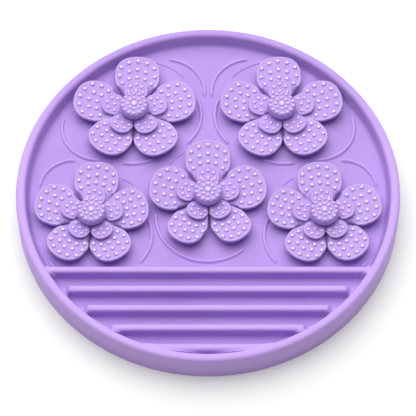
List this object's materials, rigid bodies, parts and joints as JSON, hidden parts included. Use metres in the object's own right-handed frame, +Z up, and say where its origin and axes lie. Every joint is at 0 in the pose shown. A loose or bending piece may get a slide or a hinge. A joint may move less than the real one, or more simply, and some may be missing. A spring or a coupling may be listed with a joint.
{
  "type": "lick mat",
  "caption": "Round rimmed lick mat with a ribbed spreading area and push-in nubbed flowers held through the floor by suction cups.",
  "frame": {"origin": "centre of the tray's base, at table level", "axes": "+Z up, -Y towards the ribbed front edge, +X to the right seen from the front"},
  "size_m": [0.2, 0.2, 0.0232],
  "materials": {
    "tray": "matte",
    "large_petals": "matte",
    "small_petals": "matte",
    "buttons": "matte",
    "suction_cups": "matte"
  },
  "bodies": {
    "base": {"tray": "tray", "back_left_suction_cup": "suction_cups", "back_right_suction_cup": "suction_cups", "side_left_suction_cup": "suction_cups", "side_right_suction_cup": "suction_cups", "middle_suction_cup": "suction_cups"},
    "back_left_flower": {"back_left_large_petals": "large_petals", "back_left_small_petals": "small_petals", "back_left_button": "buttons"},
    "back_right_flower": {"back_right_large_petals": "large_petals", "back_right_small_petals": "small_petals", "back_right_button": "buttons"},
    "side_left_flower": {"side_left_large_petals": "large_petals", "side_left_small_petals": "small_petals", "side_left_button": "buttons"},
    "side_right_flower": {"side_right_large_petals": "large_petals", "side_right_small_petals": "small_petals", "side_right_button": "buttons"},
    "middle_flower": {"middle_large_petals": "large_petals", "middle_small_petals": "small_petals", "middle_button": "buttons"}
  },
  "joints": [
    {"name": "back_left_flower_pull", "type": "slide", "parent": "base", "child": "back_left_flower", "axis": [0, 0, 1], "range_m": [0, 0.008]},
    {"name": "back_right_flower_pull", "type": "slide", "parent": "base", "child": "back_right_flower", "axis": [0, 0, 1], "range_m": [0, 0.008]},
    {"name": "side_left_flower_pull", "type": "slide", "parent": "base", "child": "side_left_flower", "axis": [0, 0, 1], "range_m": [0, 0.008]},
    {"name": "side_right_flower_pull", "type": "slide", "parent": "base", "child": "side_right_flower", "axis": [0, 0, 1], "range_m": [0, 0.008]},
    {"name": "middle_flower_pull", "type": "slide", "parent": "base", "child": "middle_flower", "axis": [0, 0, 1], "range_m": [0, 0.008]}
  ]
}
